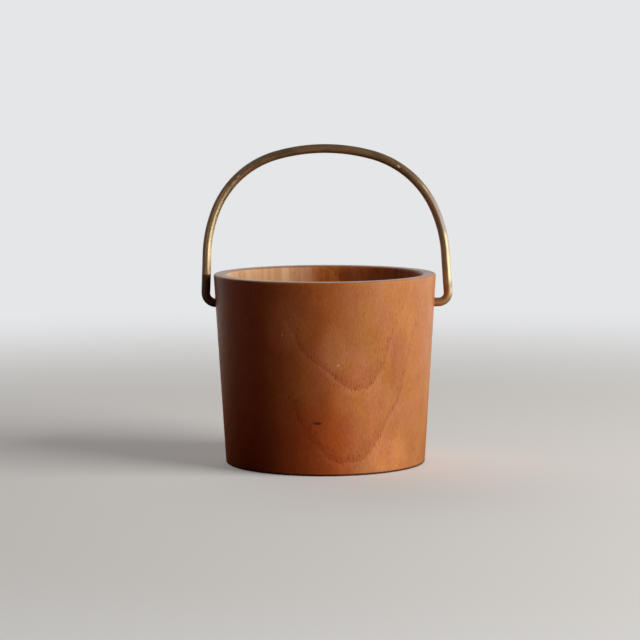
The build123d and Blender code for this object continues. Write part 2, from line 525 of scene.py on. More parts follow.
def vessels(tree, given):
    """Wide vessels in cells whose middle lies where a strong ring starts, and fine faint ones all over."""
    cells, chance = pore_cells(tree, given["Position"], WIDE_CELLS)
    middle = vector_calc(tree, "DIVIDE", cells["Position"], WIDE_CELLS)
    within, number = ring_place(tree, given, middle)
    early = product(tree, ease(tree, within, *WIDE_PART), ring_strength(tree, given, number))
    is_open = calc(tree, "LESS_THAN", chance, product(tree, early, WIDE_CHANCE))
    wide = product(tree, ease(tree, cells["Distance"], *WIDE_PORE), is_open)
    cells, chance = pore_cells(tree, given["Position"], FINE_CELLS)
    is_open = calc(tree, "LESS_THAN", chance, FINE_CHANCE)
    fine = product(tree, ease(tree, cells["Distance"], *FINE_PORE), is_open, FINE_DEPTH)
    return largest(tree, wide, fine)


def new_group(name, inputs, outputs):
    """An empty shader node group with named sockets, and its input and output nodes."""
    group = bpy.data.node_groups.new(name, "ShaderNodeTree")
    for title, kind in inputs.items():
        group.interface.new_socket(name=title, in_out="INPUT", socket_type=kind)
    for title, kind in outputs.items():
        group.interface.new_socket(name=title, in_out="OUTPUT", socket_type=kind)
    return group, group.nodes.new("NodeGroupInput"), group.nodes.new("NodeGroupOutput")


def teak_grain_group():
    """Colour, vessel mask and relief of teak, from a position in metres whose Z runs along the grain."""
    inputs = dict.fromkeys(("Position", "Pith", "Lean", "Ring Shift"), "NodeSocketVector")
    numbers = ("Start", "Ring Width", "Waviness", "Ring Show", "Line Show")
    inputs.update(dict.fromkeys(numbers, "NodeSocketFloat"))
    outputs = {"Color": "NodeSocketColor", "Vessels": "NodeSocketFloat", "Relief": "NodeSocketFloat"}
    tree, entry, result = new_group("teak_grain", inputs, outputs)
    given = entry.outputs
    position = given["Position"]
    within, number = ring_place(tree, given, position)
    fibres = noise(tree, position, FIBRES, detail=3.0, roughness=0.6)
    patches = noise(tree, position, PATCHES, detail=3.0)
    dense = add_swing(tree, 0.5, fibres, FIBRE_SWING)
    dense = add_swing(tree, dense, noise(tree, position, MOTTLES, detail=3.0), MOTTLE_SWING)
    dense = add_swing(tree, dense, patches, PATCH_SWING)
    colour = ring_colours(tree, given, within, number, patches)
    colour = tinted(tree, colour, blend_colour(tree, dense, DENSE, LOOSE))
    warmth = ease(tree, noise(tree, position, WARMTH), *WARMTH_STEP)
    colour = tinted(tree, colour, blend_colour(tree, warmth, ROSY, GOLDEN))
    open_vessels = vessels(tree, given)
    feed(tree, result, {
        "Color": blend_colour(tree, product(tree, open_vessels, PORE_SHARE), colour, PORE_DARK),
        "Vessels": open_vessels,
        "Relief": calc(tree, "MULTIPLY_ADD", open_vessels, -1.0, product(tree, fibres, FIBRE_RELIEF)),
    })
    return tree


teak_grain = teak_grain_group()
print(f"teak grain group of {len(teak_grain.nodes)} nodes")

# %% [markdown]
# ## The finish on the wall
# The block was cut with its pith a little behind the pail's middle, so the rings arch across the front. No
# tree is a perfect cone: the upper arch is turned a little to the right, and the rings fade at both sides.
# The wood that faces left is painted redder and darker as shade. Outside, oil leaves a low even sheen.
# Inside, the wood is streaked, and painted pale as light where it faces right. The rim is end grain and
# waxed, tinted grey as a painted reflection, and the foot's edge is painted dark as a contact shadow. A small
# dark bruise and two pale specks are knocks from use. Soft tinted patches vary the wood's tone; one pale
# patch on the shaded upper left is painted light, and a red one low on the front makes the wall darker and
# redder towards the foot.

# %% Grain of the wall
WALL_PITH = (-0.00344, 0.01705, 0.0)
WALL_LEAN = (0.0086, -0.0103, 0.0)
WALL_RING_START = 0.08429
WALL_RING_WIDTH = 0.00233
WALL_WAVINESS = 0.0005
RING_SWING = 0.0004
ARCH_TURN = radians(-7)
# Regions of the wall in metres, by borders, and how far the rings or their lines fade there
UPPER_ARCH = (("Z", 0.036, 0.050), ("Z", 0.092, 0.066), ("X", -0.035, 0.005), ("X", 0.060, 0.028))
UPPER_LEFT = (("X", -0.008, -0.022), ("Z", 0.062, 0.095))
UPPER_RIGHT = (("X", 0.041, 0.048), ("Z", 0.050, 0.070))
UPPER_RIGHT_FADE = 0.65
FAR_LEFT = (("X", -0.018, -0.032),)
FAR_LEFT_FADE = 0.9
RIGHT_HALF = (("X", 0.010, 0.028),)
LINE_FADE = 0.75


def use_teak(tree, **given):
    """The teak group placed in a material with its own values, Ring_Width standing for Ring Width."""
    inputs = {name.replace("_", " "): value for name, value in given.items()}
    return add_node(tree, "ShaderNodeGroup", inputs, node_tree=teak_grain).outputs


def wall_wood(tree, position):
    """Upright teak: upper arch turned, rings swung in on the upper left, faint far left and upper right."""
    axes = axes_of(tree, position)
    turn = {"Vector": position, "Angle": product(tree, region(tree, axes, UPPER_ARCH), ARCH_TURN)}
    turned = add_node(tree, "ShaderNodeVectorRotate", turn, rotation_type="Z_AXIS").outputs[0]
    swing = {"Y": product(tree, region(tree, axes, UPPER_LEFT), RING_SWING)}
    swung = vector_calc(tree, "ADD", turned, add_node(tree, "ShaderNodeCombineXYZ", swing).outputs[0])
    left_shows = left_over(tree, region(tree, axes, FAR_LEFT), FAR_LEFT_FADE)
    right_shows = left_over(tree, region(tree, axes, UPPER_RIGHT), UPPER_RIGHT_FADE)
    return use_teak(
        tree,
        Position=position,
        Pith=WALL_PITH,
        Lean=WALL_LEAN,
        Ring_Shift=vector_calc(tree, "SUBTRACT", swung, position),
        Start=WALL_RING_START,
        Ring_Width=WALL_RING_WIDTH,
        Waviness=WALL_WAVINESS,
        Ring_Show=product(tree, left_shows, right_shows),
        Line_Show=left_over(tree, region(tree, axes, RIGHT_HALF), LINE_FADE),
    )


print(f"wall rings {WALL_RING_WIDTH / MM:.2f} mm wide, pith {WALL_PITH[1] / MM:.0f} mm behind the middle")

# %% Patches, streaks, marks of use and painted light and shade
FOOT_RADIUS = 0.0665
RIM_RADIUS = 0.0740
FLARE = (RIM_RADIUS - FOOT_RADIUS) / RIM_TOP
PALE_TONE_AND_LIGHT = (1.15, 1.36, 1.85, 1.0)
FAINT_CLOUD = (1.28, 1.28, 1.44, 1.0)
RED_CLOUD = (0.98, 0.72, 0.62, 1.0)
WARM_CLOUD = (1.18, 1.10, 1.09, 1.0)
DARK_STREAK = (0.86, 0.76, 0.84, 1.0)
# Most patches vary the wood's tone. The pale one at -23 degrees is painted light on the shaded upper left,
# and the red one low on the front makes the wall darker and redder towards the foot.
# Each patch: degrees to the right of the front, height, half width, half height and tint
WALL_CLOUDS = (
    (5.0, 0.081, 0.014, 0.020, PALE_TONE_AND_LIGHT),
    (-23.0, 0.098, 0.014, 0.022, PALE_TONE_AND_LIGHT),
    (37.0, 0.008, 0.018, 0.026, FAINT_CLOUD),
    (-7.0, 0.014, 0.036, 0.048, RED_CLOUD),
    (17.0, 0.034, 0.026, 0.056, WARM_CLOUD),
    (42.0, 0.072, 0.0085, 0.030, DARK_STREAK),
)
# Tint of painted shade, for the wood that faces left, away from the lamp
PAINTED_SHADE_TINT = (1.0, 0.74, 0.58, 1.0)
# Pale colour of painted light, for the inside where the wood faces right
LIT_INSIDE_PALE = srgb(236, 200, 160)
LIT_INSIDE_SHARE = 0.5
STREAKS = (230, 230, 6)
STREAK_STEP = (0.35, 0.65)
STREAK_SHARE = 0.9
SPOT_CORE = 0.35
# Height and share of the painted contact shadow round the foot; its colour is the bruise's
FOOT_SHADE_HEIGHT = 0.0018
FOOT_SHADE_SHARE = 0.85
BRUISE_AND_SHADE_DARK = srgb(58, 28, 18)
BRUISE_PLACE = (-4.4, 0.0348)
BRUISE_SIZE = (0.0042, 0.0030, 0.0013)
BRUISE_SHARE = 0.75
SPECK_PALE = srgb(226, 214, 196)
SPECK_PLACES = ((-22.5, 0.0915), (6.7, 0.0724))
SPECK_SIZE = (0.0007, 0.0007, 0.0007)


def outer_reach(height):
    """Outside radius of the wall at a height."""
    return FOOT_RADIUS + FLARE * height


def on_front(degrees_right, height):
    """The point of the outer wall at a turn to the right of the front, and a height."""
    turn = radians(degrees_right)
    return (outer_reach(height) * sin(turn), -outer_reach(height) * cos(turn), height)


def spot(tree, position, centre, half_size):
    """1 at a centre, falling to 0 at an ellipsoid of half sizes round it."""
    offset = vector_calc(tree, "SUBTRACT", position, centre)
    reach = vector_calc(tree, "LENGTH", vector_calc(tree, "DIVIDE", offset, half_size))
    return ease(tree, reach, 1.0, SPOT_CORE)


def clouded(tree, position, colour):
    """The colour times a tint in each soft patch of the wall."""
    for degrees_right, height, half_width, half_height, tint in WALL_CLOUDS:
        half_size = (half_width, half_width * 2, half_height)
        share = spot(tree, position, on_front(degrees_right, height), half_size)
        colour = tinted(tree, colour, tint, share)
    return colour


def attribute(tree, name):
    """A value from 0 to 1 that the mesh carries on its points."""
    return add_node(tree, "ShaderNodeAttribute", attribute_name=name).outputs["Fac"]


def painted_light_by_side(tree, position, wood):
    """Outside, painted shade: redder and darker where the wood faces left. Inside, streaked, with painted
    light: pale where it faces right.
    """
    lit_side = attribute(tree, "lit_side")
    grain = clouded(tree, position, wood["Color"])
    # Painted shade: wood that faces left is tinted redder and darker, wood that faces right keeps its colour
    oiled = blend_colour(tree, lit_side, tinted(tree, grain, PAINTED_SHADE_TINT), grain)
    # Painted light: inside, the wood that faces right is mixed towards a pale colour
    inside_colour = blend_colour(tree, product(tree, lit_side, LIT_INSIDE_SHARE), oiled, LIT_INSIDE_PALE)
    streaks = ease(tree, noise(tree, position, STREAKS), *STREAK_STEP)
    inside_colour = tinted(tree, inside_colour, blend_colour(tree, streaks, DENSE, LOOSE), STREAK_SHARE)
    return blend_colour(tree, attribute(tree, "inside"), oiled, inside_colour)


def marks_and_foot_shade(tree, position, colour):
    """A painted contact shadow round the foot's edge, one dark bruise and a few pale specks."""
    # Painted contact shadow: the lowest edge of the foot is darkened
    low = ease(tree, axes_of(tree, position)["Z"], FOOT_SHADE_HEIGHT, FOOT_SHADE_HEIGHT / 2)
    colour = blend_colour(tree, product(tree, low, FOOT_SHADE_SHARE), colour, BRUISE_AND_SHADE_DARK)
    bruise = spot(tree, position, on_front(*BRUISE_PLACE), BRUISE_SIZE)
    colour = blend_colour(tree, product(tree, bruise, BRUISE_SHARE), colour, BRUISE_AND_SHADE_DARK)
    for place in SPECK_PLACES:
        speck = spot(tree, position, on_front(*place), SPECK_SIZE)
        colour = blend_colour(tree, speck, colour, SPECK_PALE)
    return colour


print(f"{len(WALL_CLOUDS)} soft patches, {len(SPECK_PLACES)} specks and a bruise on the wall")

# %% Wall material
RIM_SOAKED = srgb(162, 126, 94)
# The grey tint on the rim is a painted reflection of the pale background, on top of its wax coat
RIM_GREY_SHEEN = (0.77, 1.04, 1.55, 1.0)
RIM_GREY_SHARE = 0.6
RIM_SHARE = 0.9
RIM_DRIER = 0.2
RIM_WAX = 0.8
RIM_WAX_ROUGHNESS = 0.35
OIL_PATCHES = (60, 60, 30)
OIL_ROUGHNESS = 0.31
OIL_UNEVENNESS = 0.14
PORE_ROUGHNESS = 0.2
OIL_SPECULAR = 0.25
GROOVE_STRENGTH = 0.2
GROOVE_DEPTH = 0.00015


def oiled_finish(tree, surface, wood, colour, position, drier=0.0):
    """Sheen that varies a little, rougher in the vessels, with the vessels as fine grooves."""
    patchy = noise(tree, position, OIL_PATCHES, detail=3.0)
    uneven = calc(tree, "MULTIPLY_ADD", patchy, OIL_UNEVENNESS, OIL_ROUGHNESS)
    rough = calc(tree, "ADD", uneven, drier)
    bump = {"Height": wood["Relief"], "Strength": GROOVE_STRENGTH, "Distance": GROOVE_DEPTH}
    feed(tree, surface, {
        "Base Color": colour,
        "Roughness": calc(tree, "MULTIPLY_ADD", wood["Vessels"], PORE_ROUGHNESS, rough),
        "Specular IOR Level": OIL_SPECULAR,
        "Normal": add_node(tree, "ShaderNodeBump", bump).outputs[0],
    })


def wall_material():
    """Upright teak, with a waxed rim tinted grey as a painted reflection, painted light and shade by side,
    and the marks of use.
    """
    material, tree, surface = new_material("oiled_teak_wall")
    position = object_place(tree)
    wood = wall_wood(tree, position)
    end_grain = attribute(tree, "end_grain")
    # Painted reflection: the rim's wood is tinted grey
    grey_sheen = tinted(tree, wood["Color"], RIM_GREY_SHEEN)
    rim = blend_colour(tree, RIM_GREY_SHARE, RIM_SOAKED, grey_sheen)
    colour = painted_light_by_side(tree, position, wood)
    colour = blend_colour(tree, product(tree, end_grain, RIM_SHARE), colour, rim)
    colour = marks_and_foot_shade(tree, position, colour)
    oiled_finish(tree, surface, wood, colour, position, product(tree, end_grain, RIM_DRIER))
    wax = product(tree, end_grain, RIM_WAX)
    feed(tree, surface, {"Coat Weight": wax, "Coat Roughness": RIM_WAX_ROUGHNESS})
    return material


wall_finish = wall_material()
print(f"wall finish {wall_finish.name} of {len(wall_finish.node_tree.nodes)} nodes")

# %% [markdown]
# ## The turned wall
# On a lathe, a section is swept round an axis. Here the section is a closed loop of straight runs and rounded
# corners. A rounded corner is its sharp point plus its radius times a fixed unit shape, so a whole row of the
# surface is one sum, and each corner's radius may change round the pail.

# %% Section of the wall
WALL = 0.009
SEAT_CLEARANCE = 0.0001
SEAT_RADIUS = BOARD_RADIUS + SEAT_CLEARANCE
COLUMNS = 384
CORNER_STEPS = 7


def unit_corner(before, corner, after, steps):
    """Unit arc tangent to both sides of a corner, as offsets to scale by a radius and add to the corner."""
    back = (before - corner) / np.linalg.norm(before - corner)
    ahead = (after - corner) / np.linalg.norm(after - corner)
    half = np.arccos(np.clip(back @ ahead, -1, 1)) / 2
    inward = (back + ahead) / np.linalg.norm(back + ahead)
    sideways = (ahead - back) / np.linalg.norm(ahead - back)
    swing = np.linspace(-(pi / 2 - half), pi / 2 - half, steps)
    arc = np.outer(np.sin(swing), sideways) - np.outer(np.cos(swing), inward)
    return arc + inward / np.sin(half)


SECTION = np.array([
    (FOOT_RADIUS, 0.0),
    (RIM_RADIUS, RIM_TOP),
    (RIM_RADIUS - WALL, RIM_TOP),
    (outer_reach(BOARD_TOP) - WALL, BOARD_TOP),
    (SEAT_RADIUS, BOARD_TOP),
    (SEAT_RADIUS, 0.0),
])
CORNER_RADII = np.array([0.8, 0.8, 1.6, 0.15, 0.15, 0.6]) * MM
print("section corners in mm:", (SECTION / MM).round(2).tolist())

# %% [markdown]
# ## Wear on the edges
# Years of handling round an edge off, more in some places than in others, and knocks leave small nicks.
# Wear is a factor on each corner's radius: slow waves round the pail plus narrow bumps, thrown from a fixed
# seed so that every run gives the same pail. The hidden corners over the board wear evenly.

# %% Wear round the edges
WEAR_SEED = 7
WEAR_WAVES = 9
NICKS = 11
NICK_WIDTHS = (0.008, 0.03)
NICK_DEPTHS = (0.3, 1.0)
WAVE_DEPTH = 0.5
LEAST_WEAR = 1.15
WEAR_DEPTHS = (0.5, 0.6, 0.3, 0.0, 0.0, 0.2)


def edge_wear(turns, depth, generator):
    """Factor on a corner's radius: a least wear + depth * (slow waves round the pail + narrow nicks)."""
    waves = np.arange(2, 2 + WEAR_WAVES)
    sizes = generator.normal(0, 1, WEAR_WAVES) / waves
    phases = generator.uniform(0, 2 * pi, WEAR_WAVES)
    slow = (sizes[:, None] * np.cos(waves[:, None] * turns + phases[:, None])).sum(0)
    places = generator.uniform(0, 2 * pi, NICKS)
    widths = generator.uniform(*NICK_WIDTHS, NICKS)
    depths = generator.uniform(*NICK_DEPTHS, NICKS)
    apart = np.angle(np.exp(1j * (turns[None] - places[:, None])))
    nicks = (depths[:, None] * np.exp(-((apart / widths[:, None]) ** 2))).sum(0)
    return LEAST_WEAR + depth * (WAVE_DEPTH * (slow - slow.min()) + nicks)


turns = np.arange(COLUMNS) * 2 * pi / COLUMNS
wear_generator = np.random.default_rng(WEAR_SEED)
wear = np.stack([edge_wear(turns, depth, wear_generator) for depth in WEAR_DEPTHS])
corner_radii = CORNER_RADII[:, None] * wear
least, most = corner_radii[1].min() / MM, corner_radii[1].max() / MM
print(f"rim edge radius from {least:.2f} to {most:.2f} mm")

# %% Rows of the surface
ROWS_APART = 0.0012


def outer_shares(start, end, length):
    """Shares of the way up the outside with one at the hinge's height, and the count up to that one."""
    low, high = start[:, 1].mean(), end[:, 1].mean()
    hinge_share = (HINGE.z - low) / (high - low)
    below = round(hinge_share * length / ROWS_APART)
    above = round((1 - hinge_share) * length / ROWS_APART)
    lower = hinge_share * np.arange(1, below + 1) / below
    upper = hinge_share + (1 - hinge_share) * np.arange(1, above) / above
    return np.concatenate([lower, upper]), below


def section_rows():
    """Radius and height of every row and column, and the number of the row at the hinge's height."""
    count = len(SECTION)
    arcs = []
    for index, corner in enumerate(SECTION):
        shape = unit_corner(SECTION[index - 1], corner, SECTION[(index + 1) % count], CORNER_STEPS)
        arcs.append(corner + shape[:, None, :] * corner_radii[index][None, :, None])
    rows = []
    for index, arc in enumerate(arcs):
        start, end = arc[-1], arcs[(index + 1) % count][0]
        length = np.linalg.norm((end - start).mean(0))
        if index == 0:
            shares, below = outer_shares(start, end, length)
        else:
            steps = max(2, round(length / (2 * ROWS_APART)))
            shares = np.arange(1, steps) / steps
        rows += [arc, start + shares[:, None, None] * (end - start)]
    return np.concatenate(rows), CORNER_STEPS + below - 1


rows, HINGE_ROW = section_rows()
print(f"{rows.shape[0]} rows of {rows.shape[1]} points, hinge at row {HINGE_ROW}")

# %% [markdown]
# ## Round holes in a square grid
# The bail's ends go into two round holes, and a grid has only square meshes. The trick is to bend the grid
# itself: in a small square patch, each square ring of points is moved onto a circle, fully at the hole and
# not at all at the patch's edge. The hole's edge is then a ring of grid points, and the cells inside it are
# left out. Since the hole is drilled along X, the circle is drawn in Y and Z, and the turn follows from it.

# %% Bend the grid round the pivot holes
HOLE_RADIUS = 0.00325
HOLE_DEPTH = 0.007
HOLE_CELLS = 3
PATCH = 6
HOLE_COLUMNS = (0, COLUMNS // 2)


def ring_angle(across, up):
    """Angle of a point of a square ring, spread evenly: an eighth of a turn from side to corner."""
    wide = np.abs(across) >= np.abs(up)
    safe_across = np.where(across == 0, 1, across)
    safe_up = np.where(up == 0, 1, up)
    sideways = pi / 4 * up / safe_across + np.where(across < 0, pi, 0)
    upright = pi / 2 - pi / 4 * across / safe_up + np.where(up < 0, pi, 0)
    return np.where(wide, sideways, upright)


def bend_round_hole(angle, reach, height, middle):
    """Moves the patch of points round one hole; middle is its column."""
    steps = np.arange(-PATCH, PATCH + 1)
    across, up = np.meshgrid(steps, steps)
    columns = (middle + across) % COLUMNS
    patch_rows = HINGE_ROW + up
    ring = np.maximum(np.abs(across), np.abs(up))
    share = np.clip((ring - HOLE_CELLS) / (PATCH - HOLE_CELLS), 0, 1)
    cell = 2 * pi / COLUMNS * outer_reach(HINGE.z)
    radius = HOLE_RADIUS + share * (PATCH * cell - HOLE_RADIUS)
    spread = ring_angle(across, up)
    flat = reach[patch_rows, columns]
    side = (1 - share) * radius * np.cos(spread) + share * flat * np.sin(across * cell / flat)
    rise = (1 - share) * radius * np.sin(spread) + share * (height[patch_rows, columns] - HINGE.z)
    height[patch_rows, columns] = HINGE.z + rise
    reach[patch_rows, columns] = outer_reach(HINGE.z + rise)
    angle[patch_rows, columns] = turns[middle] + np.arcsin(side / reach[patch_rows, columns])


def hole_edge(middle):
    """Grid places of the hole's edge, in order round it."""
    steps = np.arange(-HOLE_CELLS, HOLE_CELLS + 1)
    across, up = (grid.ravel() for grid in np.meshgrid(steps, steps))
    edge = np.maximum(np.abs(across), np.abs(up)) == HOLE_CELLS
    across, up = across[edge], up[edge]
    order = np.argsort(ring_angle(across, up) % (2 * pi))
    return (HINGE_ROW + up[order]) * COLUMNS + (middle + across[order]) % COLUMNS


angle = np.repeat(turns[None], rows.shape[0], 0)
reach = rows[..., 0].copy()
height = rows[..., 1].copy()
for middle in HOLE_COLUMNS:
    bend_round_hole(angle, reach, height, middle)
print("hole edges have", len(hole_edge(0)), "points each")

# %% [markdown]
# ## Closing the wall
# The grid joins up both ways, round the pail and round the section, so it has no seam. Each hole gets a bore:
# its edge is carried inwards along X to a flat bottom. Last, all faces are turned outwards and shaded smooth,
# except at sharp edges.

# %% Build the wall
WALL_SHARP = radians(35)


def wall_faces():
    """Quads between neighbouring rows and columns, round both ways, without the cells inside the holes."""
    count = rows.shape[0]
    row, column = np.meshgrid(np.arange(count), np.arange(COLUMNS), indexing="ij")
    next_row, next_column = (row + 1) % count, (column + 1) % COLUMNS
    corners = [(row, column), (row, next_column), (next_row, next_column), (next_row, column)]
    quads = np.stack([r * COLUMNS + c for r, c in corners], -1).reshape(-1, 4)
    up = row - HINGE_ROW
    kept = np.ones(row.shape, bool)
    for middle in HOLE_COLUMNS:
        across = (column - middle + COLUMNS // 2) % COLUMNS - COLUMNS // 2
        inside_across = (across >= -HOLE_CELLS) & (across < HOLE_CELLS)
        inside_up = (up >= -HOLE_CELLS) & (up < HOLE_CELLS)
        kept &= ~(inside_across & inside_up)
    return quads[kept.ravel()]


def blind_bores(points):
    """The bore behind each hole: its edge carried in along X to a flat bottom, and the faces of both."""
    added, faces = [], []
    for side, middle in zip((1, -1), HOLE_COLUMNS):
        edge = hole_edge(middle)
        bottom = points[edge].copy()
        bottom[:, 0] = side * (outer_reach(HINGE.z) - HOLE_DEPTH)
        first = len(points) + sum(len(ring) for ring in added)
        inner = first + np.arange(len(edge))
        faces += list(zip(edge, np.roll(edge, -1), np.roll(inner, -1), inner))
        faces.append(tuple(inner))
        added.append(bottom)
    return np.vstack([points, *added]), faces


def tidy_mesh(mesh, sharp_angle):
    """Drops unused points, turns faces outwards, shades smooth except at sharp edges; gives the volume."""
    work = bmesh.new()
    work.from_mesh(mesh)
    loose = [point for point in work.verts if not point.link_faces]
    bmesh.ops.delete(work, geom=loose, context="VERTS")
    bmesh.ops.recalc_face_normals(work, faces=work.faces)
    volume = work.calc_volume(signed=True)
    work.to_mesh(mesh)
    work.free()
    mesh.shade_smooth()
    mesh.set_sharp_from_angle(angle=sharp_angle)
    return volume


points = np.stack([reach * np.cos(angle), reach * np.sin(angle), height], -1).reshape(-1, 3)
points, bore_faces = blind_bores(points)
wall = mesh_object("wall", points, [*wall_faces().tolist(), *bore_faces])
volume = tidy_mesh(wall.data, WALL_SHARP)
wall.data.materials.append(wall_finish)
print(f"wall of {len(wall.data.polygons)} faces, {volume * 1e6:.1f} cm3")

# %% [markdown]
# ## Marks for the finish
# The finish has to know the rim from the sides, the inside from the outside, and what faces right. All three
# follow from the way that the surface faces, so they are worked out from the normals once and kept on the
# points as attributes, which a material can read.

# %% Mark the end grain, the inside and the side that faces right, for painted light and shade
END_GRAIN_FACING = (0.55, 0.95)
INSIDE_FACING = (0.3, 0.8)
LIT_SIDE_FACING = (-0.05, 0.45)


def smooth_share(value, low, high):
    """0 below low, 1 above high, and a smooth step between."""
    share = np.clip((value - low) / (high - low), 0, 1)
    return share * share * (3 - 2 * share)


def mark_wall(piece):
    """Values on each point: end_grain faces along the grain, inside faces the axis, lit_side faces +X for
    painted light.
    """
    count = len(piece.data.vertices)
    normals, places = np.empty((2, count * 3), np.float32)
    piece.data.vertex_normals.foreach_get("vector", normals)
    piece.data.vertices.foreach_get("co", places)
    normals, places = normals.reshape(-1, 3), places.reshape(-1, 3)
    outward = (normals[:, :2] * places[:, :2]).sum(1) / np.hypot(places[:, 0], places[:, 1])
    marks = {
        "end_grain": smooth_share(np.abs(normals[:, 2]), *END_GRAIN_FACING),
        "inside": smooth_share(-outward, *INSIDE_FACING),
        "lit_side": smooth_share(normals[:, 0], *LIT_SIDE_FACING),
    }
    for name, values in marks.items():
        mark = piece.data.attributes.new(name, "FLOAT", "POINT")
        mark.data.foreach_set("value", values.astype(np.float32))
    return marks


marks = mark_wall(wall)
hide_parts("turned_wall")
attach(wall, "pail")
print({name: int(np.count_nonzero(values > 0.5)) for name, values in marks.items()}, "points marked")

# %% [markdown]
# ## The bottom board
# The board's CAD solid is already a true disc with an eased edge, so its mesh stays and only its finish is
# new. A board is cut along the tree, so its grain lies level. The same teak group serves: a Mapping node
# turns the position so that the group's Z runs along the board.

# %% Board material
BOARD_PITH = (0.012, 0.19, 0.0)
BOARD_LEAN = (0.01, 0.012, 0.0)
BOARD_RING_WIDTH = 0.0031
BOARD_TURN = (radians(90), radians(8), radians(90))


def board_material():
    """Level teak, a flat-sawn board whose rings arch through its thickness."""
    material, tree, surface = new_material("oiled_teak_board")
    turned = {"Vector": object_place(tree), "Rotation": BOARD_TURN}
    position = add_node(tree, "ShaderNodeMapping", turned, vector_type="POINT").outputs[0]
    wood = use_teak(
        tree,
        Position=position,
        Pith=BOARD_PITH,
        Lean=BOARD_LEAN,
        Ring_Shift=(0.0, 0.0, 0.0),
        Start=0.0,
        Ring_Width=BOARD_RING_WIDTH,
        Waviness=WALL_WAVINESS,
        Ring_Show=1.0,
        Line_Show=1.0,
    )
    oiled_finish(tree, surface, wood, wood["Color"], position)
    return material


board = frame["nodes"]["bottom_board"]
board.data.materials.clear()
board.data.materials.append(board_material())
print("board finish:", board.data.materials[0].name)

# %% [markdown]
# ## The bail's line
# A smith bends rod by numbers: so far straight, then so many degrees round a former. The centre line is made
# the same way, as a heading that holds on straight runs and turns evenly on bends, and the line is the
# running sum of steps along that heading. Hand bending is never perfect: the whole bow leans a little to the
# left, and the heading wanders by a fraction of a degree.

# %% Stretches of the rod
ROD_RADIUS = (BAIL_HIGH.y - BAIL_LOW.y) / 2
BEND_RADIUS = 0.0065
LEG_GAP = 0.0030
LEG_LEAN = radians(3.1)
LEG_STRAIGHT = 0.0260
HAUNCH_RADIUS = 0.0870
HAUNCH_TURN = radians(20.3)
SHOULDER_RADIUS = 0.0624
CROWN_ANGLE = radians(15.6)
PIN_REACH = 0.0051


def bow():
    """Lengths and curvatures of the rod's stretches from the middle of the crown to the right-hand end.

    The legs stand off the rim by a gap, so the crown's radius and the pins' length are what the rest leaves.
    """
    haunch_end = LEG_LEAN + HAUNCH_TURN
    leg_foot_height = HINGE.z + BEND_RADIUS * (1 + sin(LEG_LEAN))
    leg_at_rim = RIM_RADIUS + LEG_GAP + ROD_RADIUS / cos(LEG_LEAN)
    leg_foot = leg_at_rim + (RIM_TOP - leg_foot_height) * tan(LEG_LEAN)
    leg_top = leg_foot - LEG_STRAIGHT * sin(LEG_LEAN)
    haunch_top = leg_top - HAUNCH_RADIUS * (cos(LEG_LEAN) - cos(haunch_end))
    shoulder_centre = haunch_top - SHOULDER_RADIUS * cos(haunch_end)
    crown_radius = SHOULDER_RADIUS + shoulder_centre / sin(CROWN_ANGLE)
    pin_length = leg_foot - BEND_RADIUS * cos(LEG_LEAN) - (outer_reach(HINGE.z) - PIN_REACH)
    stretches = [
        (crown_radius * CROWN_ANGLE, 1 / crown_radius),
        (SHOULDER_RADIUS * (pi / 2 - haunch_end - CROWN_ANGLE), 1 / SHOULDER_RADIUS),
        (HAUNCH_RADIUS * HAUNCH_TURN, 1 / HAUNCH_RADIUS),
        (LEG_STRAIGHT, 0.0),
        (BEND_RADIUS * (pi / 2 + LEG_LEAN), 1 / BEND_RADIUS),
        (pin_length, 0.0),
    ]
    return np.array(stretches).T


print("stretches from crown to pin, in mm:", (bow()[0] / MM).round(1).tolist())

# %% Centre line of the rod
STEP = 0.00005
SIDEWAYS_LEAN = -0.0155
SIDEWAYS_SHIFT = 0.0001
WANDER = radians(0.12)
WANDER_WAVES = 6
WANDER_RATES = (60, 200)
WANDER_SEED = 3
CALM_END = 0.05


def half_line():
    """Arc length, heading and curvature from the middle of the crown to the right-hand cut end."""
    lengths, curvatures = bow()
    ends = np.cumsum(lengths)
    along = np.linspace(0, ends[-1], round(ends[-1] / STEP) + 1)
    knots = np.concatenate([[0], ends])
    headings = np.concatenate([[0], np.cumsum(lengths * curvatures)])
    heading = -np.interp(along, knots, headings)
    curvature = curvatures[np.minimum(np.searchsorted(ends, along, side="right"), len(ends) - 1)]
    return along, heading, curvature


def rod_line():
    """The whole line in X and Z: running sums of the heading's cosine and sine, then a lean to one side."""
    along, heading, curvature = half_line()
    along = np.concatenate([-along[:0:-1], along])
    heading = np.concatenate([-heading[:0:-1], heading])
    curvature = np.concatenate([curvature[:0:-1], curvature])
    generator = np.random.default_rng(WANDER_SEED)
    waves = generator.uniform(*WANDER_RATES, WANDER_WAVES)
    phases = generator.uniform(0, 2 * pi, WANDER_WAVES)
    calm = np.clip((np.abs(along).max() - np.abs(along)) / CALM_END, 0, 1)
    wander = WANDER * calm * np.sin(waves[:, None] * along + phases[:, None]).mean(0)
    step = np.gradient(along)
    x = np.cumsum(np.cos(heading + wander) * step)
    z = np.cumsum(np.sin(heading + wander) * step)
    z += HINGE.z - (z[0] + z[-1]) / 2
    z -= max(0.0, z.max() + ROD_RADIUS - BAIL_HIGH.z)
    x += BAIL_SHIFT - (x[0] + x[-1]) / 2
    x += SIDEWAYS_SHIFT + SIDEWAYS_LEAN * (z - HINGE.z)
    heading = np.unwrap(np.arctan2(np.gradient(z), np.gradient(x)))
    return along, x, z, heading, curvature


along, line_x, line_z, heading, curvature = rod_line()
print(f"rod {np.ptp(along) / MM:.1f} mm long, top of its line {line_z.max() / MM:.2f} mm")

# %% [markdown]
# ## The bail's surface
# A ring of points is carried along the line, with rings closer together where the rod bends tight. A bent rod
# goes a touch oval there, and its two cut ends are eased and closed. Each point also keeps where it lies on
# the straightened rod, as an attribute for the finish.

